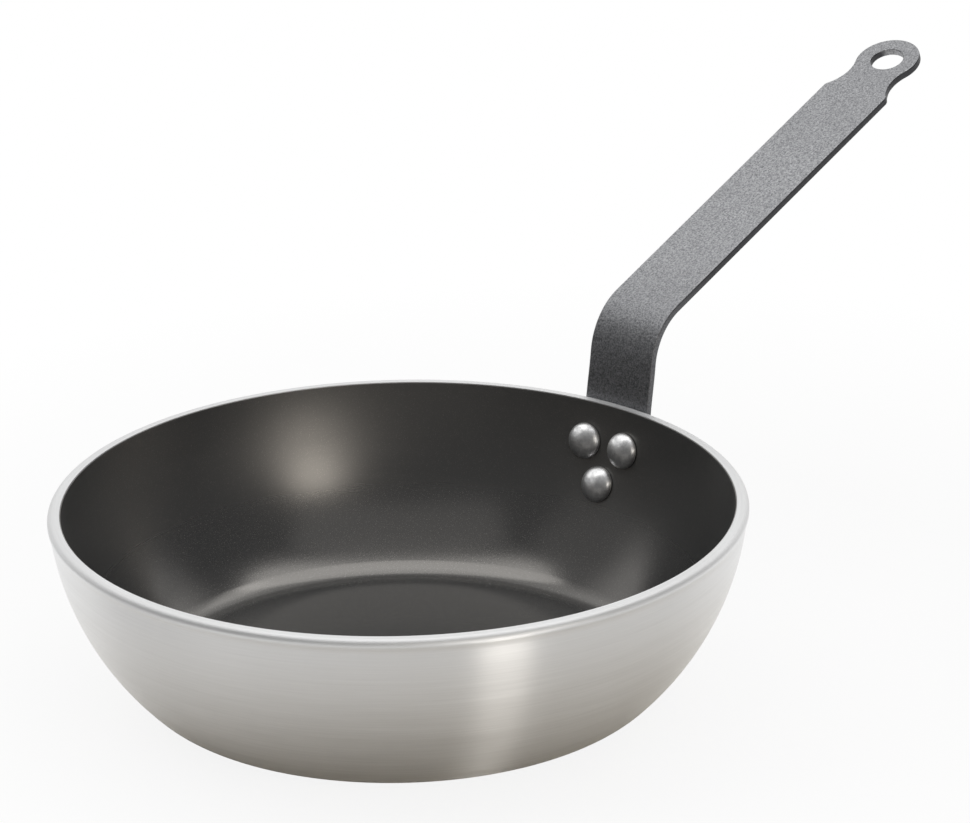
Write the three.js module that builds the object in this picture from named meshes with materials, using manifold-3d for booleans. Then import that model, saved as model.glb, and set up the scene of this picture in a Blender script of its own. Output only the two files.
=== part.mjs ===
// A round-walled saute pan: an aluminium bowl with a non-stick lining, and a bent strip handle on rivets.
// Millimetres, +Z up. The origin is the centre of the base's underside, and the handle points along +X.

import * as THREE from 'three';
import { mergeVertices } from 'three/addons/utils/BufferGeometryUtils.js';
import Module from 'manifold-3d';

const wasm = await Module();
wasm.setup();

const { degToRad, lerp, smoothstep } = THREE.MathUtils;

// Bowl
const RIM_RADIUS = 120; // outside of the rounded lip
const PAN_HEIGHT = 69;
const BASE_RADIUS = 74; // flat part of the underside
const CORNER_RADIUS = 24; // outside, between the base and the wall
const RIM_LEAN = degToRad(4.5); // the wall's lean from upright where it meets the rim
const WALL = 3.9; // thickness
const FLOOR = 6.8; // thickness of the base
const INNER_CORNER = 15; // inside, between the floor and the wall
const LIP_PROUD = 0.3; // how far the lip stands out past the wall
const LIP_ROUND = 2.2; // outer edge of the lip
const LIP_HOLLOW = 8; // fillet under the lip

// Non-stick lining
const COAT = 0.3;
const COAT_GAP = 0.05; // between the lining and the metal it is bonded to
const COAT_DROP = 0.3; // the lining stops this far below the rim's top

// Handle, one strip bent from a flat blank
const STRIP_WIDTH = 27.5;
const STRIP_THICKNESS = 2.8;
const STRIP_EDGE = 0.4; // broken edges
const FOOT_REACH = 11; // from the lower rivet's axis to the strip's lower end
const FOOT_ROUND = 9; // corners of that end
const RISER_LEAN = degToRad(7.5); // from upright, above the lip
const BEND_RISE = 29.3; // height of the bend's corner above the rim, on the pan-side face
const BEND_RADIUS = 20; // inside of the bend
const GRIP_RISE = degToRad(19.3); // the grip's slope
const GRIP_LENGTH = 164; // from the bend's corner to the centre of the hanging eye
const SHOULDER_ROUND = 3;
const NECK_WIDTH = 20;
const NECK_HOLLOW = 15; // radius of the two hollows that form the neck
const EYE_RADIUS = 12;
const HANGING_HOLE_RADIUS = 6;

// Rivets
const RIVET_DROP = 14.3; // upper pair, below the rim
const RIVET_STEP = 13.4; // from the upper pair down to the lower rivet
const RIVET_SPACING = 17; // across the upper pair
const SHANK_RADIUS = 3;
const HEAD_RADIUS = 6.4;
const HEAD_HEIGHT = 3.5;
const TAIL_RADIUS = 4.6; // formed head outside
const TAIL_HEIGHT = 2.4;

const CLEARANCE = 0.3; // between pieces that are clamped together
const CUT_REACH = 2; // how many thicknesses a cutter reaches to either side

// Facets
const TURN_STEPS = 72;
const CORNER_STEPS = 5;
const WALL_STEPS = 6;
const LIP_STEPS = 4;
const HOLLOW_STEPS = 2;
const STRIP_COLUMNS = 5;
const TAB_STEPS = 5;
const KINK_STEPS = 2;
const BEND_STEPS = 8;
const SHOULDER_STEPS = 2;
const OUTLINE_STEPS = 6;
const EYE_STEPS = 10;
const HOLE_STEPS = 28;
const RIVET_STEPS = 20;
const DOME_STEPS = 5;

// Section of the bowl, as (radius, height). A slope of 0 is level and 90 degrees is upright.

// Unit vector out of a surface of that slope, away from the inside of the bowl.
function outward(slope) {
  return new THREE.Vector2(Math.sin(slope), -Math.cos(slope));
}

function onArc(centre, radius, slope) {
  return centre.clone().addScaledVector(outward(slope), radius);
}

function slopeOf(vector) {
  return Math.atan2(vector.x, -vector.y);
}

function steps(from, to, count) {
  return Array.from({ length: count + 1 }, (_, i) => lerp(from, to, i / count));
}

function arc(centre, radius, from, to, count) {
  return steps(from, to, count).map((slope) => onArc(centre, radius, slope));
}

// The wall's outside is one arc that leaves the corner's arc smoothly and meets the rim at the rim's lean.
const cornerCentre = new THREE.Vector2(BASE_RADIUS, CORNER_RADIUS);
const rimPoint = new THREE.Vector2(RIM_RADIUS - LIP_PROUD, PAN_HEIGHT);
const rimNormal = outward(Math.PI / 2 - RIM_LEAN);
const cornerToRim = rimPoint.clone().sub(cornerCentre);
const wallRadius =
  (cornerToRim.lengthSq() - CORNER_RADIUS ** 2) / (2 * (cornerToRim.dot(rimNormal) - CORNER_RADIUS));
const wallCentre = rimPoint.clone().addScaledVector(rimNormal, -wallRadius);
const cornerTurn = slopeOf(cornerCentre.clone().sub(wallCentre));

// Slope of the wall at a height, on the surface that lies that far inside the outer one.
function wallSlope(height, inset) {
  return Math.acos((wallCentre.y - height) / (wallRadius - inset));
}

const coatTopSlope = wallSlope(PAN_HEIGHT - COAT_DROP, WALL);

// The inside corner's arc leaves the floor level and joins the wall's inner arc smoothly.
const innerHeight = FLOOR + INNER_CORNER;
const innerFromWall = wallRadius - WALL - INNER_CORNER;
const innerReach = Math.sqrt(innerFromWall ** 2 - (wallCentre.y - innerHeight) ** 2);
const innerCentre = new THREE.Vector2(wallCentre.x + innerReach, innerHeight);
const innerTurn = slopeOf(innerCentre.clone().sub(wallCentre));

// Line from the axis out along the floor and up the wall to the lining's top edge. On the wall it is
// inset that far from the outside.
function shellLine(inset) {
  const radius = INNER_CORNER + WALL - inset;
  const corner = arc(innerCentre, radius, 0, innerTurn, CORNER_STEPS);
  const wall = arc(wallCentre, wallRadius - inset, innerTurn, coatTopSlope, WALL_STEPS);
  return [new THREE.Vector2(0, innerHeight - radius), ...corner, ...wall.slice(1)];
}

// The fillet under the lip touches the lip's round and the wall's arc from outside.
const lipCentre = new THREE.Vector2(RIM_RADIUS - LIP_ROUND, PAN_HEIGHT - LIP_ROUND);
const wallToLip = lipCentre.clone().sub(wallCentre);
const lipDistance = wallToLip.length();
const hollowFromWall = wallRadius + LIP_HOLLOW;
const hollowFromLip = LIP_ROUND + LIP_HOLLOW;
const hollowAngle = Math.acos(
  (hollowFromWall ** 2 + lipDistance ** 2 - hollowFromLip ** 2) / (2 * hollowFromWall * lipDistance),
);
const hollowSlope = slopeOf(wallToLip) - hollowAngle;
const hollowCentre = onArc(wallCentre, hollowFromWall, hollowSlope);
const lipSlope = slopeOf(hollowCentre.clone().sub(lipCentre));

function bodySection() {
  const corner = arc(cornerCentre, CORNER_RADIUS, 0, cornerTurn, CORNER_STEPS);
  const wall = arc(wallCentre, wallRadius, cornerTurn, hollowSlope, WALL_STEPS);
  const hollow = arc(hollowCentre, -LIP_HOLLOW, hollowSlope, lipSlope, HOLLOW_STEPS);
  const lipSide = arc(lipCentre, LIP_ROUND, lipSlope, Math.PI / 2, HOLLOW_STEPS);
  const lipTop = arc(lipCentre, LIP_ROUND, Math.PI / 2, Math.PI, LIP_STEPS);
  const lip = [...lipSide, ...lipTop.slice(1)];
  const rimEdge = onArc(wallCentre, wallRadius - WALL, wallSlope(PAN_HEIGHT, WALL));
  const outside = [new THREE.Vector2(0, 0), ...corner, ...wall.slice(1), ...hollow.slice(1), ...lip.slice(1)];
  return [...outside, rimEdge, ...shellLine(WALL).reverse()];
}

const coatOutset = WALL + COAT_GAP;
const coatInset = coatOutset + COAT;

function coatSection() {
  return [...shellLine(coatOutset), ...shellLine(coatInset).reverse()];
}

// Solids

// Joins equal points and drops the triangles that have shrunk to nothing.
function weld(geometry) {
  const bare = new THREE.BufferGeometry();
  bare.setAttribute('position', geometry.getAttribute('position').clone());
  if (geometry.index) bare.setIndex(geometry.index.clone());
  const joined = mergeVertices(bare);
  const from = joined.index.array;
  const kept = [];
  for (let i = 0; i < from.length; i += 3) {
    const [a, b, c] = [from[i], from[i + 1], from[i + 2]];
    if (a !== b && b !== c && c !== a) kept.push(a, b, c);
  }
  joined.setIndex(kept);
  return joined;
}

function solidOf(geometry) {
  const welded = weld(geometry);
  return new wasm.Manifold(
    new wasm.Mesh({
      numProp: 3,
      vertProperties: new Float32Array(welded.getAttribute('position').array),
      triVerts: new Uint32Array(welded.index.array),
    }),
  );
}

function geometryOf(solid) {
  const mesh = solid.getMesh();
  const geometry = new THREE.BufferGeometry();
  geometry.setAttribute('position', new THREE.BufferAttribute(new Float32Array(mesh.vertProperties), 3));
  geometry.setIndex(Array.from(mesh.triVerts));
  geometry.computeVertexNormals();
  return geometry;
}

function cut(geometry, tools) {
  let solid = solidOf(geometry);
  for (const tool of tools) solid = solid.subtract(solidOf(tool));
  return geometryOf(solid);
}

// A section turned about +Z.
function turned(section, count) {
  return new THREE.LatheGeometry(section, count).rotateX(Math.PI / 2);
}

// A round cutter about +Z, reaching well past a thickness on both sides of its origin.
function cutter(radius, thickness, count) {
  const length = 2 * CUT_REACH * thickness;
  return new THREE.CylinderGeometry(radius, radius, length, count).rotateX(Math.PI / 2);
}

// Rivets: each stands square to the wall, and its origin is where its axis leaves the lining's inner face.

function rivetSeat(name, drop, across) {
  const slope = wallSlope(PAN_HEIGHT - drop, coatInset);
  const point = onArc(wallCentre, wallRadius - coatInset, slope);
  const azimuth = Math.asin(across / point.x);
  const axis = new THREE.Vector3(Math.sin(slope), 0, -Math.cos(slope));
  const position = new THREE.Vector3(point.x, 0, point.y);
  const up = new THREE.Vector3(0, 0, 1);
  for (const vector of [axis, position]) vector.applyAxisAngle(up, azimuth);
  const quaternion = new THREE.Quaternion().setFromUnitVectors(up, axis);
  const place = new THREE.Matrix4().compose(position, quaternion, new THREE.Vector3(1, 1, 1));
  return { name, slope, point, position, quaternion, place };
}

const rivetSeats = [
  rivetSeat('rivet_left', RIVET_DROP, RIVET_SPACING / 2),
  rivetSeat('rivet_right', RIVET_DROP, -RIVET_SPACING / 2),
  rivetSeat('rivet_lower', RIVET_DROP + RIVET_STEP, 0),
];
const lowerSeat = rivetSeats[2];

// Handle: the strip's pan-side face is a run of arcs and lines, in the section plane of the bowl.

// A negative radius bends away from the bowl, with the centre on the strip's far side.
function arcRun(centre, radius, from, to) {
  const length = Math.abs(radius * (to - from));
  const at = (distance) => {
    const slope = lerp(from, to, distance / length);
    return { point: onArc(centre, radius, slope), slope };
  };
  return { length, at };
}

function lineRun(start, slope, length) {
  const along = new THREE.Vector2(Math.cos(slope), Math.sin(slope));
  const at = (distance) => ({ point: start.clone().addScaledVector(along, distance), slope });
  return { length, at };
}

// The tab lies on the wall, then leaves it straight to pass the lip.
const tabRadius = wallRadius + CLEARANCE;
const kinkRadius = LIP_ROUND + CLEARANCE;
const tabSlope = slopeOf(wallToLip) - Math.acos((tabRadius - kinkRadius) / lipDistance);
const footSlope = lowerSeat.slope - FOOT_REACH / tabRadius;
const tabTop = onArc(wallCentre, tabRadius, tabSlope);
const kinkFoot = onArc(lipCentre, kinkRadius, tabSlope);

// Above the lip the strip rises to the bend, and the grip runs out from it.
const riserSlope = Math.PI / 2 - RISER_LEAN;
const riserFoot = onArc(lipCentre, kinkRadius, riserSlope);
const bendFace = BEND_RADIUS + STRIP_THICKNESS;
const bendTangent = bendFace * Math.tan((riserSlope - GRIP_RISE) / 2);
const cornerDistance = (PAN_HEIGHT + BEND_RISE - riserFoot.y) / Math.sin(riserSlope);
const riser = lineRun(riserFoot, riserSlope, cornerDistance - bendTangent);
const bendFoot = riser.at(riser.length).point;
const bendCentre = onArc(bendFoot, bendFace, riserSlope);
const gripFoot = onArc(bendCentre, -bendFace, GRIP_RISE);

const runs = {
  tab: arcRun(wallCentre, tabRadius, footSlope, tabSlope),
  leave: lineRun(tabTop, tabSlope, tabTop.distanceTo(kinkFoot)),
  kink: arcRun(lipCentre, kinkRadius, tabSlope, riserSlope),
  riser,
  bend: arcRun(bendCentre, -bendFace, riserSlope, GRIP_RISE),
  grip: lineRun(gripFoot, GRIP_RISE, GRIP_LENGTH - bendTangent + EYE_RADIUS),
};
let stripLength = 0;
for (const run of Object.values(runs)) {
  run.start = stripLength;
  stripLength += run.length;
}
const eyeAt = stripLength - EYE_RADIUS;

// Point and slope of the pan-side face at a distance from the foot.
function along(distance) {
  const run = Object.values(runs).findLast(({ start }) => start <= distance);
  return run.at(distance - run.start);
}

// Outline of the blank. Distances are from the eye's centre: edge, shoulder, neck and eye meet smoothly.
const halfStrip = STRIP_WIDTH / 2;
const neckAcross = NECK_WIDTH / 2 + NECK_HOLLOW;
const neckAt = -Math.sqrt((EYE_RADIUS + NECK_HOLLOW) ** 2 - neckAcross ** 2);
const shoulderAcross = halfStrip - SHOULDER_ROUND;
const shoulderReach = NECK_HOLLOW + SHOULDER_ROUND;
const shoulderAt = neckAt - Math.sqrt(shoulderReach ** 2 - (neckAcross - shoulderAcross) ** 2);
const shoulderEnd = lerp(shoulderAt, neckAt, SHOULDER_ROUND / shoulderReach);
const neckEnd = (neckAt * EYE_RADIUS) / (EYE_RADIUS + NECK_HOLLOW);

// Half a chord: how far a circle reaches across at a distance from its centre.
function chord(radius, distance) {
  return Math.sqrt(Math.max(radius ** 2 - distance ** 2, 0));
}

function halfWidth(distance) {
  const fromEye = distance - eyeAt;
  if (distance < FOOT_ROUND) return halfStrip - FOOT_ROUND + chord(FOOT_ROUND, FOOT_ROUND - distance);
  if (fromEye <= shoulderAt) return halfStrip;
  if (fromEye <= shoulderEnd) return shoulderAcross + chord(SHOULDER_ROUND, fromEye - shoulderAt);
  if (fromEye <= neckEnd) return neckAcross - chord(NECK_HOLLOW, fromEye - neckAt);
  return chord(EYE_RADIUS, fromEye);
}

// Distances from the foot at which the strip gets a cross-section: even steps of angle on every arc.
function stripStations() {
  const spread = (run, count) => steps(run.start, run.start + run.length, count);
  const foot = steps(0, Math.PI / 2, OUTLINE_STEPS).map((turn) => FOOT_ROUND * (1 - Math.cos(turn)));
  const tab = spread(runs.tab, TAB_STEPS).filter((distance) => distance > FOOT_ROUND);
  const shoulder = steps(shoulderAt, shoulderEnd, SHOULDER_STEPS);
  const neck = steps(shoulderEnd, neckEnd, OUTLINE_STEPS).slice(1);
  const eyeFrom = Math.acos(neckEnd / EYE_RADIUS);
  const eye = steps(eyeFrom, 0, EYE_STEPS).slice(1).map((turn) => EYE_RADIUS * Math.cos(turn));
  const end = [...shoulder, ...neck, ...eye].map((distance) => eyeAt + distance);
  return [...foot, ...tab, ...spread(runs.kink, KINK_STEPS), ...spread(runs.bend, BEND_STEPS), ...end];
}

// The tab is curved to the bowl, and the strip grows flat between the rim and the bend.
function stripPoint(station, across, depth, distance) {
  const point = station.point.clone().addScaledVector(outward(station.slope), depth);
  const curved = 1 - smoothstep(distance, runs.riser.start, runs.bend.start);
  const sag = point.x - chord(point.x, across);
  return [point.x - curved * sag, across, point.y];
}

// One closed ring of a cross-section: pan-side face, one edge, far face, other edge.
function stripRing(distance) {
  const station = along(distance);
  const half = halfWidth(distance);
  const flat = Math.max(half - STRIP_EDGE, 0);
  const columns = steps(-flat, flat, STRIP_COLUMNS - 1);
  const farEdge = STRIP_THICKNESS - STRIP_EDGE;
  const near = columns.map((across) => [across, 0]);
  const far = columns.map((across) => [-across, STRIP_THICKNESS]);
  const ring = [...near, [half, STRIP_EDGE], [half, farEdge], ...far, [-half, farEdge], [-half, STRIP_EDGE]];
  return ring.map(([across, depth]) => stripPoint(station, across, depth, distance));
}

function stripGeometry() {
  const rings = stripStations().map(stripRing);
  const count = rings[0].length;
  const index = [];
  for (let i = 0; i + 1 < rings.length; i += 1) {
    for (let j = 0; j < count; j += 1) {
      const [a, b] = [i * count + j, i * count + ((j + 1) % count)];
      index.push(a, b + count, b, a, a + count, b + count);
    }
  }
  const lastRing = (rings.length - 1) * count;
  for (let j = 1; j + 1 < count; j += 1) {
    index.push(0, j, j + 1);
    index.push(lastRing, lastRing + j + 1, lastRing + j);
  }
  const geometry = new THREE.BufferGeometry();
  geometry.setAttribute('position', new THREE.Float32BufferAttribute(rings.flat(2), 3));
  geometry.setIndex(index);
  return geometry;
}

// Distance along a rivet's axis from the lining's inner face to the strip's far face, on the tab or above it.
function gripOf(seat) {
  const faceSlope = Math.min(seat.slope, tabSlope);
  const toFace = onArc(wallCentre, tabRadius + STRIP_THICKNESS, faceSlope).sub(seat.point);
  const facing = outward(faceSlope);
  return toFace.dot(facing) / outward(seat.slope).dot(facing);
}

// The inside head's flat seat clears the hollow of the wall at its edge.
const headSag = HEAD_RADIUS ** 2 / (2 * (wallRadius - coatInset));
const headSeat = headSag + CLEARANCE;

// Profile of a domed head from its edge to its crown, standing on a level base.
function dome(radius, height, base, direction) {
  const ball = (radius ** 2 + height ** 2) / (2 * height);
  const opening = Math.atan2(radius, ball - height);
  const turns = steps(opening, 0, DOME_STEPS);
  const rise = (turn) => height - ball * (1 - Math.cos(turn));
  return turns.map((turn) => new THREE.Vector2(ball * Math.sin(turn), base + direction * rise(turn)));
}

function rivetGeometry(seat) {
  const tailSeat = gripOf(seat) + CLEARANCE;
  const head = dome(HEAD_RADIUS, HEAD_HEIGHT, -headSeat, -1).reverse();
  const shank = [new THREE.Vector2(SHANK_RADIUS, -headSeat), new THREE.Vector2(SHANK_RADIUS, tailSeat)];
  const tail = dome(TAIL_RADIUS, TAIL_HEIGHT, tailSeat, 1);
  return turned([...head, ...shank, ...tail], RIVET_STEPS);
}

function rivetHole(seat) {
  return cutter(SHANK_RADIUS + CLEARANCE, gripOf(seat), RIVET_STEPS).applyMatrix4(seat.place);
}

function hangingHole() {
  const { point, slope } = along(eyeAt);
  const hole = cutter(HANGING_HOLE_RADIUS, STRIP_THICKNESS, HOLE_STEPS);
  return hole.rotateY(-slope).translate(point.x, 0, point.y);
}

// Assembly

function material(color, roughness, metalness) {
  return new THREE.MeshStandardMaterial({ color, roughness, metalness });
}

function piece(name, geometry, finish) {
  const mesh = new THREE.Mesh(geometry, finish);
  mesh.name = name;
  return mesh;
}

const brushedAluminium = material(0xe8e8e8, 0.35, 1);
const nonStick = material(0x373839, 0.3, 0);
const coatedSteel = material(0xa2a2a5, 0.42, 0.9);
const rivetAluminium = material(0xe9e9e9, 0.35, 1);

const rivetHoles = rivetSeats.map(rivetHole);

const pan = new THREE.Group();
pan.name = 'saute_pan';
pan.add(piece('pan_body', cut(turned(bodySection(), TURN_STEPS), rivetHoles), brushedAluminium));
pan.add(piece('nonstick_coating', cut(turned(coatSection(), TURN_STEPS), rivetHoles), nonStick));
pan.add(piece('handle', cut(stripGeometry(), [...rivetHoles, hangingHole()]), coatedSteel));
for (const seat of rivetSeats) {
  const rivet = piece(seat.name, rivetGeometry(seat), rivetAluminium);
  rivet.position.copy(seat.position);
  rivet.quaternion.copy(seat.quaternion);
  pan.add(rivet);
}

export default pan;
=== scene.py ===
import math

import bpy
from mathutils import Matrix, Vector


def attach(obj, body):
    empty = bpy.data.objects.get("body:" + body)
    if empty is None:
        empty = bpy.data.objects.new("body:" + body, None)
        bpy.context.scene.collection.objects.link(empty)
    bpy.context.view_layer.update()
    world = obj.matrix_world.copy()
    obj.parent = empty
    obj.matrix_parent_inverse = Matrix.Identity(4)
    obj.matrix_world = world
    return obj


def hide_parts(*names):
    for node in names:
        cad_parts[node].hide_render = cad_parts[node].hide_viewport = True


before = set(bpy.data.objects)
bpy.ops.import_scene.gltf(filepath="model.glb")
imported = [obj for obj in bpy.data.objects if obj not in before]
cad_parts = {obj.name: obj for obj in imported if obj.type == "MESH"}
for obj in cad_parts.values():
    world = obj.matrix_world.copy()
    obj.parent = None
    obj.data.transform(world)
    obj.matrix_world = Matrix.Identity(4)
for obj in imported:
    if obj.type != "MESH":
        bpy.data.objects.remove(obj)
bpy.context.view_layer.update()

MM = 0.001

# Sizes of the bowl, in millimetres, as in the CAD model
RIM_RADIUS = 120
PAN_HEIGHT = 69
BASE_RADIUS = 74
CORNER_RADIUS = 24
RIM_LEAN = math.radians(4.5)
WALL = 3.9
FLOOR = 6.8
INNER_CORNER = 15
LIP_PROUD = 0.3
LIP_ROUND = 2.2
LIP_HOLLOW = 8
COAT = 0.3
COAT_GAP = 0.05
COAT_DROP = 0.3

# Sizes of the strip handle
STRIP_WIDTH = 27.5
STRIP_THICKNESS = 2.8
STRIP_EDGE = 0.55
FOOT_REACH = 11
FOOT_ROUND = 9
RISER_LEAN = math.radians(7.5)
BEND_RISE = 29.3
BEND_RADIUS = 20
GRIP_RISE = math.radians(19.3)
GRIP_LENGTH = 164
SHOULDER_ROUND = 3
NECK_WIDTH = 20
NECK_HOLLOW = 15
EYE_RADIUS = 12
HANGING_HOLE_RADIUS = 6

# Sizes of the rivets
RIVET_DROP = 14.3
RIVET_STEP = 13.4
RIVET_SPACING = 17
SHANK_RADIUS = 3
HEAD_RADIUS = 6.4
HEAD_HEIGHT = 3.5
TAIL_RADIUS = 4.6
TAIL_HEIGHT = 2.4
CLEARANCE = 0.3

# Fineness of the meshes
TURN_STEPS = 288
FLAT_STEPS = 12
INNER_CORNER_STEPS = 18
CORNER_STEPS = 20
WALL_STEPS = 34
HOLLOW_STEPS = 6
LIP_SIDE_STEPS = 5
LIP_TOP_STEPS = 10
LAND_STEPS = 2
RIVET_STEPS = 64
HEAD_STEPS = 18
TAIL_STEPS = 14
STRIP_COLUMNS = 14
EDGE_STEPS = 4
FOOT_GAP = 0.2
FOOT_STEPS = 10
RUN_STEPS = {"tab": 26, "leave": 4, "kink": 6, "riser": 10, "bend": 28}
GRIP_STEPS = 40
SHOULDER_STEPS = 5
NECK_STEPS = 8
NECK_END_STEPS = 5
EYE_STEPS = 22
SHARP_EDGE = math.radians(40)
ON_AXIS = 1e-6

# Camera, in the photograph's own directions: right, away and up, from the middle of the base
PHOTO_SIZE = (970, 823)
CAMERA_DISTANCE = 2.8
CAMERA_RISE = math.radians(21.967)
CAMERA_PITCH = math.radians(-0.635)
CAMERA_YAW = math.radians(0.669)
CAMERA_ROLL = math.radians(1.148)
PIXELS_PER_MM = 2.9263
HANDLE_TURN = math.radians(40.4)
SENSOR_WIDTH = 36


# Section of the bowl, as (radius, height). A slope of 0 is level and 90 degrees is upright.
def outward(slope):
    return Vector((math.sin(slope), -math.cos(slope)))


def on_arc(centre, radius, slope):
    return centre + radius * outward(slope)


def slope_of(vector):
    return math.atan2(vector.x, -vector.y)


def steps(start, end, count):
    return [start + (end - start) * i / count for i in range(count + 1)]


def arc(centre, radius, start, end, count):
    return [on_arc(centre, radius, slope) for slope in steps(start, end, count)]


def chord(radius, distance):
    return math.sqrt(max(radius**2 - distance**2, 0))


def smooth(value, low, high):
    t = min(max((value - low) / (high - low), 0), 1)
    return t * t * (3 - 2 * t)


corner_centre = Vector((BASE_RADIUS, CORNER_RADIUS))
rim_point = Vector((RIM_RADIUS - LIP_PROUD, PAN_HEIGHT))
rim_normal = outward(math.pi / 2 - RIM_LEAN)
corner_to_rim = rim_point - corner_centre
wall_radius = (corner_to_rim.length_squared - CORNER_RADIUS**2) / (
    2 * (corner_to_rim.dot(rim_normal) - CORNER_RADIUS)
)
wall_centre = rim_point - wall_radius * rim_normal
corner_turn = slope_of(corner_centre - wall_centre)


def wall_slope(height, inset):
    return math.acos((wall_centre.y - height) / (wall_radius - inset))


coat_top_slope = wall_slope(PAN_HEIGHT - COAT_DROP, WALL)

# The inside corner's arc leaves the floor level and joins the wall's inner arc smoothly.
inner_height = FLOOR + INNER_CORNER
inner_from_wall = wall_radius - WALL - INNER_CORNER
inner_reach = math.sqrt(inner_from_wall**2 - (wall_centre.y - inner_height) ** 2)
inner_centre = Vector((wall_centre.x + inner_reach, inner_height))
inner_turn = slope_of(inner_centre - wall_centre)


def shell_line(inset):
    """From the axis out along the floor and up the wall to the lining's top edge."""
    radius = INNER_CORNER + WALL - inset
    floor = [Vector((inner_centre.x * share, inner_height - radius)) for share in steps(0, 1, FLAT_STEPS)]
    corner = arc(inner_centre, radius, 0, inner_turn, INNER_CORNER_STEPS)
    wall = arc(wall_centre, wall_radius - inset, inner_turn, coat_top_slope, WALL_STEPS)
    return floor + corner[1:] + wall[1:]


# The fillet under the lip touches the lip's round and the wall's arc from outside.
lip_centre = Vector((RIM_RADIUS - LIP_ROUND, PAN_HEIGHT - LIP_ROUND))
wall_to_lip = lip_centre - wall_centre
lip_distance = wall_to_lip.length
hollow_from_wall = wall_radius + LIP_HOLLOW
hollow_from_lip = LIP_ROUND + LIP_HOLLOW
hollow_slope = slope_of(wall_to_lip) - math.acos(
    (hollow_from_wall**2 + lip_distance**2 - hollow_from_lip**2) / (2 * hollow_from_wall * lip_distance)
)
hollow_centre = on_arc(wall_centre, hollow_from_wall, hollow_slope)
lip_slope = slope_of(hollow_centre - lip_centre)


def body_section():
    """From the axis out along the underside, up to the lip, over it and back down the inside."""
    base = [Vector((BASE_RADIUS * share, 0)) for share in steps(0, 1, FLAT_STEPS)]
    corner = arc(corner_centre, CORNER_RADIUS, 0, corner_turn, CORNER_STEPS)
    wall = arc(wall_centre, wall_radius, corner_turn, hollow_slope, WALL_STEPS)
    hollow = arc(hollow_centre, -LIP_HOLLOW, hollow_slope, lip_slope, HOLLOW_STEPS)
    lip = arc(lip_centre, LIP_ROUND, lip_slope, math.pi / 2, LIP_SIDE_STEPS)
    lip += arc(lip_centre, LIP_ROUND, math.pi / 2, math.pi, LIP_TOP_STEPS)[1:]
    rim_edge = on_arc(wall_centre, wall_radius - WALL, wall_slope(PAN_HEIGHT, WALL))
    land = [lip[-1].lerp(rim_edge, share) for share in steps(0, 1, LAND_STEPS)]
    outside = base + corner[1:] + wall[1:] + hollow[1:] + lip[1:] + land[1:]
    return outside + shell_line(WALL)[::-1]


coat_outset = WALL + COAT_GAP
coat_inset = coat_outset + COAT


def coat_section():
    return shell_line(coat_outset) + shell_line(coat_inset)[::-1]


# Meshes
def mesh_piece(name, points, faces):
    """A mesh object from points in millimetres in the row frame."""
    mesh = bpy.data.meshes.new(name)
    mesh.from_pydata([Vector(p) * MM for p in points], [], faces)
    piece = bpy.data.objects.new(name, mesh)
    bpy.context.scene.collection.objects.link(piece)
    return piece


def turned(section, count):
    """Points and faces of a section turned about Z. It runs from axis to axis, solid on its left."""
    points = []
    rings = []
    for radius, height in section:
        start = len(points)
        if radius < ON_AXIS:
            points.append(Vector((0, 0, height)))
            rings.append([start] * count)
            continue
        for i in range(count):
            turn = 2 * math.pi * i / count
            points.append(Vector((radius * math.cos(turn), radius * math.sin(turn), height)))
        rings.append(list(range(start, start + count)))
    faces = []
    for low, high in zip(rings, rings[1:]):
        for i in range(count):
            j = (i + 1) % count
            faces.append(tuple(dict.fromkeys((low[i], low[j], high[j], high[i]))))
    return points, faces


def finish_mesh(piece, material):
    """Smooth shading with crisp edges, and flat faces that stay flat beside small rounds."""
    piece.data.shade_smooth()
    piece.data.set_sharp_from_angle(angle=SHARP_EDGE)
    normals = piece.modifiers.new("normals", "WEIGHTED_NORMAL")
    normals.keep_sharp = True
    piece.data.materials.clear()
    piece.data.materials.append(material)


def cut(piece, tools):
    """Takes the tools out of a piece and keeps the result as its mesh."""
    for tool in tools:
        hole = piece.modifiers.new(tool.name, "BOOLEAN")
        hole.operation = "DIFFERENCE"
        hole.solver = "EXACT"
        hole.object = tool
    bpy.context.view_layer.update()
    graph = bpy.context.evaluated_depsgraph_get()
    mesh = bpy.data.meshes.new_from_object(piece.evaluated_get(graph))
    piece.modifiers.clear()
    piece.data = mesh
    mesh.name = piece.name


# Rivets
def rivet_seat(name, drop, across):
    """Where a rivet's axis passes the lining's inner face, so far below the rim and to the side."""
    slope = wall_slope(PAN_HEIGHT - drop, coat_inset)
    point = on_arc(wall_centre, wall_radius - coat_inset, slope)
    azimuth = math.asin(across / point.x)
    spin = Matrix.Rotation(azimuth, 4, "Z")
    axis = spin @ Vector((math.sin(slope), 0, -math.cos(slope)))
    position = spin @ Vector((point.x, 0, point.y))
    place = Matrix.Translation(position) @ Vector((0, 0, 1)).rotation_difference(axis).to_matrix().to_4x4()
    return {"name": name, "slope": slope, "point": point, "place": place}


rivet_seats = [
    rivet_seat("rivet_left", RIVET_DROP, RIVET_SPACING / 2),
    rivet_seat("rivet_right", RIVET_DROP, -RIVET_SPACING / 2),
    rivet_seat("rivet_lower", RIVET_DROP + RIVET_STEP, 0),
]
lower_seat = rivet_seats[2]


# Handle: the strip's pan-side face is a run of arcs and lines, in the section plane of the bowl.
def arc_run(centre, radius, start, end):
    length = abs(radius * (end - start))

    def at(distance):
        slope = start + (end - start) * distance / length
        return on_arc(centre, radius, slope), slope

    return {"length": length, "at": at}


def line_run(start, slope, length):
    direction = Vector((math.cos(slope), math.sin(slope)))

    def at(distance):
        return start + distance * direction, slope

    return {"length": length, "at": at}


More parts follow.
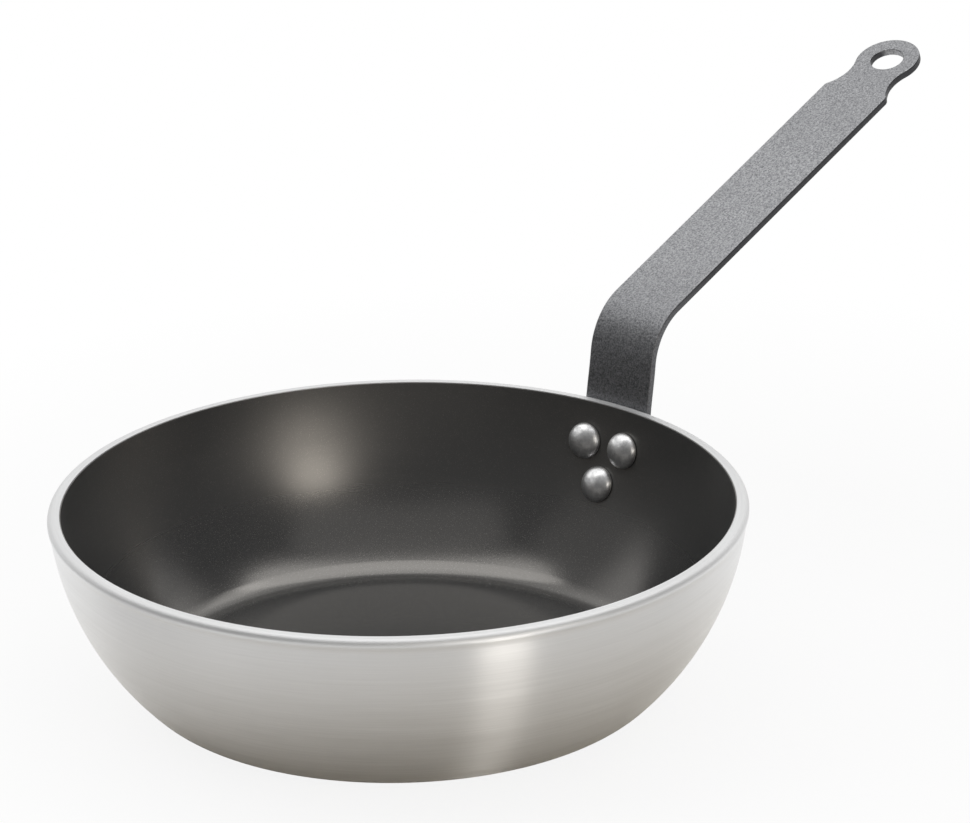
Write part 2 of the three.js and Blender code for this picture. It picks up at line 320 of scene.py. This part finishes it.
tab_radius = wall_radius + CLEARANCE
kink_radius = LIP_ROUND + CLEARANCE
tab_slope = slope_of(wall_to_lip) - math.acos((tab_radius - kink_radius) / lip_distance)
foot_slope = lower_seat["slope"] - FOOT_REACH / tab_radius
tab_top = on_arc(wall_centre, tab_radius, tab_slope)
kink_foot = on_arc(lip_centre, kink_radius, tab_slope)
riser_slope = math.pi / 2 - RISER_LEAN
riser_foot = on_arc(lip_centre, kink_radius, riser_slope)
bend_face = BEND_RADIUS + STRIP_THICKNESS
bend_tangent = bend_face * math.tan((riser_slope - GRIP_RISE) / 2)
corner_distance = (PAN_HEIGHT + BEND_RISE - riser_foot.y) / math.sin(riser_slope)
riser = line_run(riser_foot, riser_slope, corner_distance - bend_tangent)
bend_foot = riser["at"](riser["length"])[0]
bend_centre = on_arc(bend_foot, bend_face, riser_slope)
grip_foot = on_arc(bend_centre, -bend_face, GRIP_RISE)

runs = {
    "tab": arc_run(wall_centre, tab_radius, foot_slope, tab_slope),
    "leave": line_run(tab_top, tab_slope, (kink_foot - tab_top).length),
    "kink": arc_run(lip_centre, kink_radius, tab_slope, riser_slope),
    "riser": riser,
    "bend": arc_run(bend_centre, -bend_face, riser_slope, GRIP_RISE),
    "grip": line_run(grip_foot, GRIP_RISE, GRIP_LENGTH - bend_tangent + EYE_RADIUS),
}
strip_length = 0
for run in runs.values():
    run["start"] = strip_length
    strip_length += run["length"]
eye_at = strip_length - EYE_RADIUS


def along(distance):
    """Point and slope of the pan-side face, that far from the strip's lower end."""
    run = [run for run in runs.values() if run["start"] <= max(distance, 0)][-1]
    return run["at"](distance - run["start"])


half_strip = STRIP_WIDTH / 2
neck_across = NECK_WIDTH / 2 + NECK_HOLLOW
neck_at = eye_at - math.sqrt((EYE_RADIUS + NECK_HOLLOW) ** 2 - neck_across**2)
shoulder_across = half_strip - SHOULDER_ROUND
shoulder_reach = NECK_HOLLOW + SHOULDER_ROUND
shoulder_at = neck_at - math.sqrt(shoulder_reach**2 - (neck_across - shoulder_across) ** 2)


def edge_normal(turn):
    """Out of the blank's outline: 0 points off the foot, 90 degrees sideways, 180 off the eye's tip."""
    return Vector((-math.cos(turn), math.sin(turn)))


def round_edge(centre, radius, start, end, count):
    return [(centre + radius * edge_normal(turn), turn) for turn in steps(start, end, count)]


def blank_side():
    """Edge of the flat face on the +Y side, from the foot to the neck and from there to the eye's tip."""
    side = math.pi / 2
    shoulder = Vector((shoulder_at, shoulder_across))
    neck = Vector((neck_at, neck_across))
    eye = Vector((eye_at, 0))
    to_neck = neck - shoulder
    from_eye = neck - eye
    shoulder_turn = math.atan2(to_neck.y, -to_neck.x)
    eye_turn = math.atan2(from_eye.y, -from_eye.x)
    foot = Vector((FOOT_ROUND, half_strip - FOOT_ROUND))
    lower = round_edge(foot, FOOT_ROUND - STRIP_EDGE, 0, side, FOOT_STEPS)
    straight = []
    for name, count in RUN_STEPS.items():
        straight += steps(runs[name]["start"], runs[name]["start"] + runs[name]["length"], count)[1:]
    straight += steps(runs["grip"]["start"], shoulder_at, GRIP_STEPS)[1:-1]
    lower += [(Vector((d, half_strip - STRIP_EDGE)), side) for d in straight if d > FOOT_ROUND + FOOT_GAP]
    lower += round_edge(shoulder, SHOULDER_ROUND - STRIP_EDGE, side, shoulder_turn, SHOULDER_STEPS)
    hollow = -NECK_HOLLOW - STRIP_EDGE
    lower += round_edge(neck, hollow, shoulder_turn, side, NECK_STEPS)[1:]
    upper = round_edge(neck, hollow, side, eye_turn, NECK_END_STEPS)[1:]
    upper += round_edge(eye, EYE_RADIUS - STRIP_EDGE, eye_turn, math.pi, EYE_STEPS)[1:]
    return lower, upper


def strip_point(place, depth):
    """A point of the bent strip from its place on the flat blank. The tab is curved round the bowl."""
    distance, across = place
    point, slope = along(distance)
    point = point + depth * outward(slope)
    curved = 1 - smooth(distance, runs["riser"]["start"], runs["bend"]["start"])
    sag = point.x - chord(point.x, across)
    return Vector((point.x - curved * sag, across, point.y))


def edge_profile():
    """Offsets and depths from the pan-side face round the edge to the far face."""
    quarter = steps(0, math.pi / 2, EDGE_STEPS)
    near = [(STRIP_EDGE * math.sin(a), STRIP_EDGE * (1 - math.cos(a))) for a in quarter]
    far = [(offset, STRIP_THICKNESS - depth) for offset, depth in near[::-1]]
    return near + far


def band(inner, outer):
    """Faces between two closed loops of as many points."""
    size = len(inner)
    return [(inner[k], outer[k], outer[(k + 1) % size], inner[(k + 1) % size]) for k in range(size)]


def strip_mesh():
    """Both faces of the strip as grids, with rounded edges between them and round the hanging hole."""
    lower, upper = blank_side()
    mirror = Vector((1, -1))
    shares = steps(-1, 1, STRIP_COLUMNS)
    rows = [[Vector((place.x, place.y * share)) for share in shares] for place, turn in lower]
    left_tail = [(place * mirror, -turn) for place, turn in upper[:-1]]
    flat = [place for row in rows for place in row]
    width = STRIP_COLUMNS + 1
    first_tail = len(flat)
    flat += [place for place, turn in left_tail] + [place for place, turn in upper[::-1]]
    # The flat face's edge, counter-clockwise: -Y side from foot to tip, +Y side back, then the foot.
    left_rows = [(i * width, -lower[i][1]) for i in range(len(lower))]
    right_rows = [(i * width + width - 1, lower[i][1]) for i in range(len(lower))]
    tails = [(first_tail + k, turn) for k, (place, turn) in enumerate(left_tail + upper[::-1])]
    foot = [(j, 0.0) for j in range(width - 2, 0, -1)]
    outline = left_rows + tails + right_rows[::-1] + foot
    last = (len(rows) - 1) * width
    eye_loop = [last + j for j in range(width - 1, 0, -1)] + [last] + [index for index, turn in tails]
    eye = Vector((eye_at, 0))
    hole_first = len(flat)
    hole_normals = []
    for index in eye_loop:
        ray = (flat[index] - eye).normalized()
        hole_normals.append(-ray)
        flat.append(eye + ray * (HANGING_HOLE_RADIUS + STRIP_EDGE))
    hole_loop = list(range(hole_first, hole_first + len(eye_loop)))
    faces = []
    for i in range(len(rows) - 1):
        for j in range(STRIP_COLUMNS):
            a = i * width + j
            faces.append((a, a + width, a + width + 1, a + 1))
    for k in range(len(eye_loop)):
        n = (k + 1) % len(eye_loop)
        faces.append((eye_loop[k], eye_loop[n], hole_loop[n], hole_loop[k]))
    count = len(flat)
    points = [strip_point(place, 0) for place in flat]
    points += [strip_point(place, STRIP_THICKNESS) for place in flat]
    faces += [tuple(index + count for index in face[::-1]) for face in faces]
    edges = [(outline, [edge_normal(turn) for index, turn in outline])]
    holes = list(zip(hole_loop, hole_normals))[::-1]
    edges.append(([(index, 0) for index, normal in holes], [normal for index, normal in holes]))
    profile = edge_profile()
    for loop, normals in edges:
        previous = [index for index, turn in loop]
        for offset, depth in profile[1:-1]:
            ring = []
            for (index, turn), normal in zip(loop, normals):
                ring.append(len(points))
                points.append(strip_point(flat[index] + offset * normal, depth))
            faces += band(previous, ring)
            previous = ring
        faces += band(previous, [index + count for index, turn in loop])
    return points, faces


def grip_of(seat):
    """Distance along a rivet's axis from the lining's inner face to the strip's far face."""
    face_slope = min(seat["slope"], tab_slope)
    to_face = on_arc(wall_centre, tab_radius + STRIP_THICKNESS, face_slope) - seat["point"]
    facing = outward(face_slope)
    return to_face.dot(facing) / outward(seat["slope"]).dot(facing)


head_seat = HEAD_RADIUS**2 / (2 * (wall_radius - coat_inset)) + CLEARANCE


def dome(radius, height, base, direction, count):
    """A button head's profile from its edge to its crown: a quarter of an ellipse."""
    profile = []
    for turn in steps(0, math.pi / 2, count):
        rise = height * math.sin(turn)
        profile.append(Vector((radius * math.cos(turn), base + direction * rise)))
    return profile


def rivet_mesh(seat):
    tail_seat = grip_of(seat) + CLEARANCE
    head = dome(HEAD_RADIUS, HEAD_HEIGHT, -head_seat, -1, HEAD_STEPS)[::-1]
    shank = [Vector((SHANK_RADIUS, -head_seat)), Vector((SHANK_RADIUS, tail_seat))]
    tail = dome(TAIL_RADIUS, TAIL_HEIGHT, tail_seat, 1, TAIL_STEPS)
    points, faces = turned(head + shank + tail, RIVET_STEPS)
    return [seat["place"] @ point for point in points], faces


def rivet_cutter(seat):
    radius = SHANK_RADIUS + CLEARANCE
    reach = 2 * grip_of(seat)
    section = [Vector((0, -reach)), Vector((radius, -reach)), Vector((radius, reach)), Vector((0, reach))]
    points, faces = turned(section, RIVET_STEPS)
    # Half a step of turn keeps the cutter's corners off the lines of the meshes that it cuts.
    place = seat["place"] @ Matrix.Rotation(math.pi / RIVET_STEPS, 4, "Z")
    return mesh_piece("hole_" + seat["name"], [place @ point for point in points], faces)


# Heights between which finishes change: on the lip in millimetres below the rim, elsewhere in metres
LIP_FADE = (2.4, 1.4)
FLOOR_FADE = (0.0073, 0.0095)
GLOSS_FADE = (0.02, 0.05)
RISER_SHADE_FADE = (0.086, 0.110)
GRIP_EDGE_FADE = (0.094, 0.108)

# Colours of the finishes, linear
DULL_ALUMINIUM = (0.765, 0.768, 0.77)
BRIGHT_ALUMINIUM = (0.865, 0.868, 0.87)
WORN_ALUMINIUM = (0.78, 0.775, 0.765)
DARK_FILM = (0.027, 0.029, 0.032)
PALE_FILM = (0.035, 0.037, 0.040)
# Painted light: the floor film is paler, for the light from above.
PAINTED_LIGHT_FLOOR_FILM = (0.034, 0.036, 0.038)
FILM_FLECK = (0.16, 0.155, 0.145)
FILM_SHEEN = (1, 0.96, 0.905, 1)
DARK_PAINT = (0.205, 0.208, 0.22)
PALE_PAINT = (0.58, 0.585, 0.60)
CLOUD_PAINT = (0.32, 0.322, 0.333)
# Painted shade: the paint near the bowl is darkened for the shade there.
RISER_PAINTED_SHADE = (0.03, 0.031, 0.036)
# Painted shade: the grip's edges are darkened for the dark room they mirror.
EDGE_PAINTED_SHADE = (0.06, 0.06, 0.064)
DULL_RIVET = (0.6, 0.6, 0.605)
BRIGHT_RIVET = (0.94, 0.94, 0.935)


class Nodes:
    """Small helper for the node tree of a material or a world."""

    def __init__(self, name, holder=None):
        self.material = holder or bpy.data.materials.new(name)
        self.material.use_nodes = True
        self.tree = self.material.node_tree
        self.shader = self.tree.nodes.get("Principled BSDF")
        self.output = self.tree.nodes.get("Material Output")

    def add(self, kind, **settings):
        node = self.tree.nodes.new(kind)
        for key, value in settings.items():
            setattr(node, key, value)
        return node

    def link(self, source, target):
        self.tree.links.new(source, target)

    def feed(self, socket, value):
        if isinstance(value, bpy.types.NodeSocket):
            self.link(value, socket)
        else:
            socket.default_value = value

    def math(self, operation, *values):
        node = self.add("ShaderNodeMath", operation=operation)
        for socket, value in zip(node.inputs, values):
            self.feed(socket, value)
        return node.outputs[0]

    def vector(self, operation, *values):
        node = self.add("ShaderNodeVectorMath", operation=operation)
        for socket, value in zip(node.inputs, values):
            self.feed(socket, value)
        return node.outputs["Value"] if operation in ("LENGTH", "DOT_PRODUCT") else node.outputs["Vector"]

    def scaled(self, vector, factor):
        node = self.add("ShaderNodeVectorMath", operation="SCALE")
        self.feed(node.inputs[0], vector)
        self.feed(node.inputs["Scale"], factor)
        return node.outputs["Vector"]

    def split(self, vector):
        node = self.add("ShaderNodeSeparateXYZ")
        self.feed(node.inputs[0], vector)
        return node.outputs

    def joined(self, x, y, z):
        node = self.add("ShaderNodeCombineXYZ")
        for socket, value in zip(node.inputs, (x, y, z)):
            self.feed(socket, value)
        return node.outputs[0]

    def place(self):
        return self.add("ShaderNodeTexCoord").outputs["Object"]

    def noise(self, vector, scale, detail, roughness=0.5, w=None):
        node = self.add("ShaderNodeTexNoise", noise_dimensions="3D" if w is None else "4D")
        self.feed(node.inputs["Vector"], vector)
        if w is not None:
            self.feed(node.inputs["W"], w)
        node.inputs["Scale"].default_value = scale
        node.inputs["Detail"].default_value = detail
        node.inputs["Roughness"].default_value = roughness
        return node.outputs["Fac"]

    def ramp(self, value, low, high, to_low=0.0, to_high=1.0):
        node = self.add("ShaderNodeMapRange", clamp=True)
        keys = ("Value", "From Min", "From Max", "To Min", "To Max")
        for key, entry in zip(keys, (value, low, high, to_low, to_high)):
            self.feed(node.inputs[key], entry)
        return node.outputs[0]

    def blend(self, factor, low, high):
        node = self.add("ShaderNodeMix", data_type="RGBA")
        self.feed(node.inputs["Factor"], factor)
        for socket, colour in zip(node.inputs[6:8], (low, high)):
            self.feed(socket, (*colour, 1.0) if isinstance(colour, tuple) else colour)
        return node.outputs[2]

    def bump(self, height, strength, distance, normal=None):
        node = self.add("ShaderNodeBump")
        node.inputs["Strength"].default_value = strength
        node.inputs["Distance"].default_value = distance
        self.feed(node.inputs["Height"], height)
        if normal is not None:
            self.feed(node.inputs["Normal"], normal)
        return node.outputs[0]

    def set(self, **values):
        for key, value in values.items():
            self.feed(self.shader.inputs[key.replace("_", " ")], value)


def turning(nodes, around, across):
    """Noise place for marks that run round the Z axis: a vector and a fourth value, and the height."""
    x, y, z = nodes.split(nodes.place())
    flat = nodes.joined(x, y, 0.0)
    radius = nodes.vector("LENGTH", flat)
    direction = nodes.scaled(nodes.vector("NORMALIZE", flat), around)
    offset = nodes.joined(0.0, 0.0, nodes.math("MULTIPLY", radius, across))
    return nodes.vector("ADD", direction, offset), nodes.math("MULTIPLY", z, across), z


def brushed_aluminium():
    nodes = Nodes("brushed_aluminium")
    fine, fine_w, height = turning(nodes, 3.0, 1500.0)
    coarse, coarse_w, _ = turning(nodes, 1.6, 260.0)
    lines = nodes.noise(fine, 1.0, 3.0, 0.65, fine_w)
    bands = nodes.noise(coarse, 1.0, 2.0, 0.55, coarse_w)
    patches = nodes.noise(nodes.place(), 22.0, 3.0)
    mixed = nodes.math("ADD", nodes.math("MULTIPLY", lines, 0.65), nodes.math("MULTIPLY", bands, 0.35))
    tint = nodes.ramp(mixed, 0.32, 0.68)
    colour = nodes.blend(tint, DULL_ALUMINIUM, BRIGHT_ALUMINIUM)
    worn = nodes.ramp(patches, 0.35, 0.7, 0.0, 0.22)
    nodes.set(Base_Color=nodes.blend(worn, colour, WORN_ALUMINIUM))
    # The brushing fades out on the lip, which is satin and spreads light more widely.
    lip = nodes.ramp(height, (PAN_HEIGHT - LIP_FADE[0]) * MM, (PAN_HEIGHT - LIP_FADE[1]) * MM)
    brushed = nodes.math("SUBTRACT", 1.0, lip)
    rough = nodes.ramp(mixed, 0.3, 0.7, 0.30, 0.38)
    satin = nodes.math("MULTIPLY", lip, 0.26)
    nodes.set(Metallic=1.0, Roughness=nodes.math("ADD", rough, satin))
    nodes.set(Anisotropic=nodes.ramp(lip, 0.0, 1.0, 1.0, 0.0), Anisotropic_Rotation=0.25)
    tangent = nodes.add("ShaderNodeTangent", direction_type="RADIAL", axis="Z")
    nodes.link(tangent.outputs[0], nodes.shader.inputs["Tangent"])
    relief = nodes.math("MULTIPLY", mixed, brushed)
    nodes.set(Normal=nodes.bump(relief, 0.35, 0.04 * MM))
    return nodes.material


def nonstick():
    nodes = Nodes("nonstick")
    fine, fine_w, height = turning(nodes, 2.4, 1100.0)
    rings = nodes.noise(fine, 1.0, 3.0, 0.6, fine_w)
    grain = nodes.noise(nodes.place(), 1900.0, 2.0, 0.6)
    cloud = nodes.noise(nodes.place(), 18.0, 3.0)
    fleck = nodes.ramp(nodes.noise(nodes.place(), 4200.0, 0.0), 0.70, 0.78)
    mixed = nodes.math("ADD", nodes.math("MULTIPLY", rings, 0.3), nodes.math("MULTIPLY", cloud, 0.7))
    colour = nodes.blend(nodes.ramp(mixed, 0.3, 0.7), DARK_FILM, PALE_FILM)
    # Painted light: the flat floor is a little paler than the wall, for the stronger light from above that
    # falls on it. It is also duller, and the film is glossier low down.
    on_floor = nodes.ramp(height, *FLOOR_FADE, 1.0, 0.0)
    colour = nodes.blend(on_floor, colour, PAINTED_LIGHT_FLOOR_FILM)
    nodes.set(Base_Color=nodes.blend(fleck, colour, FILM_FLECK))
    gloss = nodes.ramp(height, *GLOSS_FADE, 0.19, 0.37)
    nodes.set(Roughness=nodes.math("ADD", gloss, nodes.ramp(rings, 0.3, 0.7, -0.01, 0.01)), IOR=2.5)
    nodes.set(Specular_Tint=FILM_SHEEN)
    nodes.set(Specular_IOR_Level=nodes.ramp(on_floor, 0, 1, 0.5, 0.27))
    nodes.set(Normal=nodes.bump(grain, 0.2, 0.04 * MM))
    return nodes.material


def coated_steel():
    nodes = Nodes("coated_steel")
    place = nodes.place()
    dimples = nodes.noise(place, 900.0, 2.0, 0.55)
    speck = nodes.noise(place, 1700.0, 1.0)
    cloud = nodes.noise(place, 35.0, 3.0)
    tone = nodes.math("ADD", nodes.math("MULTIPLY", dimples, 0.35), nodes.math("MULTIPLY", speck, 0.65))
    colour = nodes.blend(nodes.ramp(tone, 0.34, 0.66), DARK_PAINT, PALE_PAINT)
    shade = nodes.ramp(cloud, 0.35, 0.7, 0.0, 0.25)
    colour = nodes.blend(shade, colour, CLOUD_PAINT)
    # Painted shade: the paint is darker near the bowl, for the shade that the riser stands in.
    riser_shade = nodes.ramp(nodes.split(place)["Z"], *RISER_SHADE_FADE, 0.45, 0.0)
    colour = nodes.blend(riser_shade, colour, RISER_PAINTED_SHADE)
    # Painted shade: the cut edges of the grip are darker than its faces, for the dark room that they
    # mirror.
    side = nodes.math("ABSOLUTE", nodes.split(nodes.add("ShaderNodeTexCoord").outputs["Normal"])["Y"])
    on_grip = nodes.ramp(nodes.split(place)["Z"], *GRIP_EDGE_FADE, 0.55, 1.0)
    edge_shade = nodes.math("MULTIPLY", nodes.ramp(side, 0.5, 0.85), on_grip)
    nodes.set(Base_Color=nodes.blend(edge_shade, colour, EDGE_PAINTED_SHADE))
    nodes.set(Roughness=nodes.ramp(dimples, 0.3, 0.7, 0.44, 0.56), Metallic=0.93)
    small = nodes.bump(speck, 0.25, 0.05 * MM)
    nodes.set(Normal=nodes.bump(dimples, 0.8, 0.16 * MM, small))
    return nodes.material


def rivet_aluminium():
    nodes = Nodes("rivet_aluminium")
    place = nodes.place()
    marks = nodes.noise(place, 420.0, 3.0, 0.6)
    fine = nodes.noise(place, 2400.0, 2.0)
    colour = nodes.blend(nodes.ramp(marks, 0.35, 0.65), DULL_RIVET, BRIGHT_RIVET)
    nodes.set(Base_Color=colour, Metallic=1.0)
    nodes.set(Roughness=nodes.ramp(marks, 0.35, 0.65, 0.46, 0.34))
    low = nodes.bump(marks, 0.3, 0.3 * MM)
    nodes.set(Normal=nodes.bump(fine, 0.15, 0.04 * MM, low))
    return nodes.material


# Pieces
def dress(piece, node, material):
    finish_mesh(piece, material)
    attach(piece, "root")
    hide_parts(node)


rivet_finish = rivet_aluminium()
cutters = [rivet_cutter(seat) for seat in rivet_seats]

bowl = mesh_piece("bowl_metal", *turned(body_section(), TURN_STEPS))
lining = mesh_piece("bowl_lining", *turned(coat_section(), TURN_STEPS))
strip = mesh_piece("handle_strip", *strip_mesh())
for piece in (bowl, lining, strip):
    cut(piece, cutters)
for cutter in cutters:
    bpy.data.objects.remove(cutter)

dress(bowl, "pan_body", brushed_aluminium())
dress(lining, "nonstick_coating", nonstick())
dress(strip, "handle", coated_steel())
rivets = bpy.data.collections.new("rivets")
for seat in rivet_seats:
    rivet = mesh_piece(seat["name"] + "_formed", *rivet_mesh(seat))
    dress(rivet, seat["name"], rivet_finish)
    rivets.objects.link(rivet)

# Stage
right = Vector((math.sin(HANDLE_TURN), -math.cos(HANDLE_TURN), 0))
away = Vector((math.cos(HANDLE_TURN), math.sin(HANDLE_TURN), 0))
up = Vector((0, 0, 1))


def seen(x, y, z):
    """A point from the photograph's own directions: right, away and up."""
    return x * right + y * away + z * up


# The table, in metres. The camera sees it white; what the metal mirrors of it is darker in places.
TABLE_RADIUS = 15
TABLE_OPEN = 0.0735
TABLE_STEPS = 96
TABLE_DROP = 0.0002
TABLE_MIDDLE = Vector((0.08, 0, 0))
TABLE_NEAR = 0.16
TABLE_FAR = 0.34
TABLE_SHEEN = 0.88
TABLE_SHADE = (0.93, 0.93, 0.93)
TABLE_BOUNCE = (0.86, 0.81, 0.73)
# Painted shade: for all but camera rays the table is dark in a patch left of the pan, which the handle and
# metal mirror.
TABLE_DARK = (0.1, 0.1, 0.11)
DARK_MIDDLE = seen(-0.60, -0.08, 0)
DARK_NEAR = 0.20
DARK_FAR = 0.30
MIRRORED_MIDDLE = seen(0.015, -0.03, 0)
MIRRORED_NEAR = 0.10
MIRRORED_FAR = 0.24


def table_material():
    nodes = Nodes("floor")
    nodes.tree.nodes.remove(nodes.shader)
    diffuse = nodes.add("ShaderNodeBsdfDiffuse")
    white = nodes.add("ShaderNodeEmission")
    path = nodes.add("ShaderNodeLightPath").outputs
    # Painted shade: a dark patch left of the pan, seen only by rays other than camera rays.
    from_dark = nodes.vector("LENGTH", nodes.vector("SUBTRACT", nodes.place(), DARK_MIDDLE))
    lit = nodes.ramp(from_dark, DARK_NEAR, DARK_FAR)
    bounce = nodes.blend(lit, TABLE_DARK, TABLE_BOUNCE)
    nodes.link(nodes.blend(path["Is Camera Ray"], bounce, TABLE_SHADE), diffuse.inputs["Color"])
    from_middle = nodes.vector("LENGTH", nodes.vector("SUBTRACT", nodes.place(), TABLE_MIDDLE))
    seen_white = nodes.ramp(from_middle, TABLE_NEAR, TABLE_FAR, TABLE_SHEEN, 1.0)
    from_front = nodes.vector("LENGTH", nodes.vector("SUBTRACT", nodes.place(), MIRRORED_MIDDLE))
    mirrored_white = nodes.math("MULTIPLY", nodes.ramp(from_front, MIRRORED_NEAR, MIRRORED_FAR), lit)
    direct = nodes.math("MAXIMUM", path["Is Camera Ray"], path["Is Transmission Ray"])
    direct_white = nodes.math("MULTIPLY", seen_white, direct)
    glossy_white = nodes.math("MULTIPLY", mirrored_white, path["Is Glossy Ray"])
    mix = nodes.add("ShaderNodeMixShader")
    nodes.link(nodes.math("MAXIMUM", direct_white, glossy_white), mix.inputs[0])
    nodes.link(diffuse.outputs[0], mix.inputs[1])
    nodes.link(white.outputs[0], mix.inputs[2])
    # From below the table is clear, so that the underside can be looked at.
    clear = nodes.add("ShaderNodeBsdfTransparent")
    sides = nodes.add("ShaderNodeMixShader")
    nodes.link(nodes.add("ShaderNodeNewGeometry").outputs["Backfacing"], sides.inputs[0])
    nodes.link(mix.outputs[0], sides.inputs[1])
    nodes.link(clear.outputs[0], sides.inputs[2])
    nodes.link(sides.outputs[0], nodes.output.inputs["Surface"])
    return nodes.material


def make_table():
    """A round table, open under the flat base so that light from below reaches the underside."""
    count = TABLE_STEPS
    turns = [2 * math.pi * k / count for k in range(count)]
    points = []
    for radius in (TABLE_OPEN, TABLE_RADIUS):
        points += [(radius * math.cos(turn), radius * math.sin(turn), 0) for turn in turns]
    faces = []
    for k in range(count):
        after = (k + 1) % count
        faces.append((k, k + count, after + count, after))
    mesh = bpy.data.meshes.new("floor")
    mesh.from_pydata(points, [], faces)
    floor = bpy.data.objects.new("floor", mesh)
    floor.location.z = -TABLE_DROP
    bpy.context.scene.collection.objects.link(floor)
    mesh.materials.append(table_material())


def softbox(name, place, target, size, radiance, colour, shape="RECTANGLE", only=None):
    """A flat lamp that faces its target. Its power follows from how bright it looks.

    It lights everything, or only the pieces in the collection given.
    """
    lamp = bpy.data.lights.new(name, "AREA")
    lamp.shape = shape
    lamp.size, lamp.size_y = size
    area = size[0] * size[1] * (math.pi / 4 if shape == "ELLIPSE" else 1)
    lamp.energy = radiance * math.pi * area
    lamp.color = colour
    light = bpy.data.objects.new(name, lamp)
    bpy.context.scene.collection.objects.link(light)
    light.location = place
    light.rotation_mode = "QUATERNION"
    light.rotation_quaternion = (target - place).to_track_quat("-Z", "Y")
    light.visible_camera = False
    light.light_linking.receiver_collection = only


def make_world():
    """A dim room with a white backdrop behind the pan, up to a good height."""
    world = bpy.data.worlds.new("studio")
    nodes = Nodes("world", world)
    direction = nodes.add("ShaderNodeTexCoord").outputs["Generated"]
    behind = nodes.ramp(nodes.vector("DOT_PRODUCT", direction, away), *BACKDROP_SIDE)
    below = nodes.ramp(nodes.split(direction)["Z"], *BACKDROP_TOP, 1.0, 0.0)
    backdrop = nodes.math("MULTIPLY", behind, below)
    background = nodes.tree.nodes["Background"]
    background.inputs["Color"].default_value = (1, 1, 1, 1)
    nodes.link(nodes.ramp(backdrop, 0.0, 1.0, ROOM_LIGHT, BACKDROP_LIGHT), background.inputs["Strength"])
    bpy.context.scene.world = world


def make_camera():
    """The photograph's camera: a long lens, looking a little down."""
    height = PAN_HEIGHT * MM + CAMERA_DISTANCE * math.sin(CAMERA_RISE)
    view = CAMERA_RISE + CAMERA_PITCH
    level = math.cos(view)
    forward = seen(math.sin(CAMERA_YAW) * level, math.cos(CAMERA_YAW) * level, -math.sin(view))
    side = forward.cross(up).normalized()
    down = forward.cross(side)
    turn_side = math.cos(CAMERA_ROLL) * side + math.sin(CAMERA_ROLL) * down
    turn_down = math.cos(CAMERA_ROLL) * down - math.sin(CAMERA_ROLL) * side
    data = bpy.data.cameras.new("camera")
    data.sensor_fit = "HORIZONTAL"
    data.sensor_width = SENSOR_WIDTH
    data.lens = PIXELS_PER_MM * CAMERA_DISTANCE / MM * data.sensor_width / PHOTO_SIZE[0]
    camera = bpy.data.objects.new("camera", data)
    bpy.context.scene.collection.objects.link(camera)
    matrix = Matrix((turn_side, -turn_down, -forward)).transposed().to_4x4()
    matrix.translation = seen(0, -CAMERA_DISTANCE * math.cos(CAMERA_RISE), height)
    camera.matrix_world = matrix
    bpy.context.scene.camera = camera


def lamp_place(bearing, rise, distance):
    """A place by its bearing right of the camera and its height above the horizon, in degrees."""
    turn, lift = math.radians(bearing), math.radians(rise)
    flat = distance * math.cos(lift)
    return seen(flat * math.sin(turn), -flat * math.cos(turn), distance * math.sin(lift))


# Light: the room and the backdrop as seen strengths, with the directions between which the backdrop fades
ROOM_LIGHT = 0.1
BACKDROP_LIGHT = 0.95
BACKDROP_SIDE = (0.15, 0.55)
BACKDROP_TOP = (0.86, 0.97)
WHITE = (1, 1, 1)
WARM = (1, 0.95, 0.88)
TARGET_HEIGHT = 0.05

make_table()
make_world()
target = seen(0, 0, TARGET_HEIGHT)
# Each lamp has its place, what it faces, its size in metres, how bright it looks, and its colour.
softbox("overhead", seen(0, 0.04, 1.5), target, (2.7, 1.26), 1.4, WHITE, "ELLIPSE")
softbox("front_top", seen(0, -0.95, 1.35), target, (2.2, 0.7), 0.2, WHITE)
softbox("left", lamp_place(-95, 32, 1.4), target, (1.1, 0.8), 0.12, WHITE)
softbox("rivet_side", lamp_place(-105, 38, 1.2), target, (0.9, 0.9), 0.9, WHITE, only=rivets)
softbox("right_back", lamp_place(122, 53, 1.5), target, (0.7, 0.35), 0.6, WHITE)
softbox("strip", lamp_place(32, 14, 1.4), target, (0.38, 0.95), 3.7, WARM)
make_camera()
bpy.context.scene.view_settings.view_transform = "Standard"
